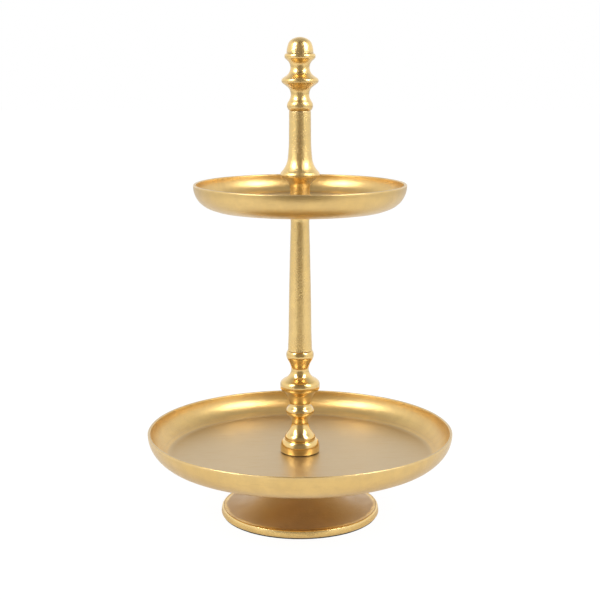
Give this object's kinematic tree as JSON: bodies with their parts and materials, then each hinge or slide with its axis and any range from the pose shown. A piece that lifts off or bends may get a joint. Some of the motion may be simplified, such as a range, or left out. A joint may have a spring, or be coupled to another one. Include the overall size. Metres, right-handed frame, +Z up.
{
  "type": "tiered cake stand",
  "caption": "Tiered cake stand of gold-toned cast metal: shallow round trays on a turned column, with a flared foot below and an acorn-topped carrying handle above.",
  "frame": {"origin": "centre of the foot's ring pad, on the table", "axes": "+Z up along the stand's axis; every piece is round about it, so +X and +Y are free; the front in the views is -Y"},
  "size_m": [0.3, 0.3, 0.466],
  "materials": {
    "gold_foot": "gold-lacquered casting, satin, with a polished rim",
    "gold_tray": "gold-lacquered casting, satin, fine grain and hairline scratches",
    "gold_satin": "gold-lacquered, satin turned shaft",
    "gold_polished": "gold-lacquered, polished turning",
    "zinc_steel": "zinc-plated screw steel",
    "black_pad": "closed-cell foam ring",
    "clear_gasket": "soft pale gasket",
    "dark_washer": "dark nylon washer"
  },
  "bodies": {
    "foot": {"foot_ring_pad": "black_pad", "foot_casting": "gold_foot", "foot_bolt": "zinc_steel", "foot_bolt_spring_washer": "zinc_steel", "foot_bolt_nut": "zinc_steel", "crown_gasket": "clear_gasket"},
    "lower_tray": {"lower_tray": "gold_tray"},
    "column_washer": {"column_seat_washer": "dark_washer"},
    "column": {"base_collar": "gold_polished", "lower_baluster": "gold_polished", "column_joint_stud": "zinc_steel", "column_shaft": "gold_satin", "column_top_stud": "zinc_steel", "shaft_gasket": "clear_gasket"},
    "upper_tray": {"upper_tray": "gold_tray"},
    "handle_washer": {"handle_seat_washer": "dark_washer"},
    "handle": {"handle_shaft": "gold_satin", "handle_joint_stud": "zinc_steel", "finial": "gold_polished", "knob_stud": "zinc_steel", "acorn_knob": "gold_polished"}
  },
  "joints": [
    {"name": "lower_tray_turn", "type": "hinge", "parent": "foot", "child": "lower_tray", "pos_m": [0, 0, 0.0596], "axis": [0, 0, 1], "continuous": true},
    {"name": "column_turn", "type": "hinge", "parent": "foot", "child": "column_washer", "pos_m": [0, 0, 0.0634], "axis": [0, 0, 1], "range_deg": [0, 3600]},
    {"name": "column_rise", "type": "slide", "parent": "column_washer", "child": "column", "axis": [0, 0, 1], "range_m": [0, 0.0125]},
    {"name": "upper_tray_turn", "type": "hinge", "parent": "column", "child": "upper_tray", "pos_m": [0, 0, 0.302], "axis": [0, 0, 1], "continuous": true},
    {"name": "handle_turn", "type": "hinge", "parent": "column", "child": "handle_washer", "pos_m": [0, 0, 0.3058], "axis": [0, 0, 1], "range_deg": [0, 3600]},
    {"name": "handle_rise", "type": "slide", "parent": "handle_washer", "child": "handle", "axis": [0, 0, 1], "range_m": [0, 0.0125]}
  ],
  "couplings": [
    {"joint": "column_turn", "follows": "column_rise", "rad_per_m": 5026.5},
    {"joint": "handle_turn", "follows": "handle_rise", "rad_per_m": 5026.5}
  ]
}
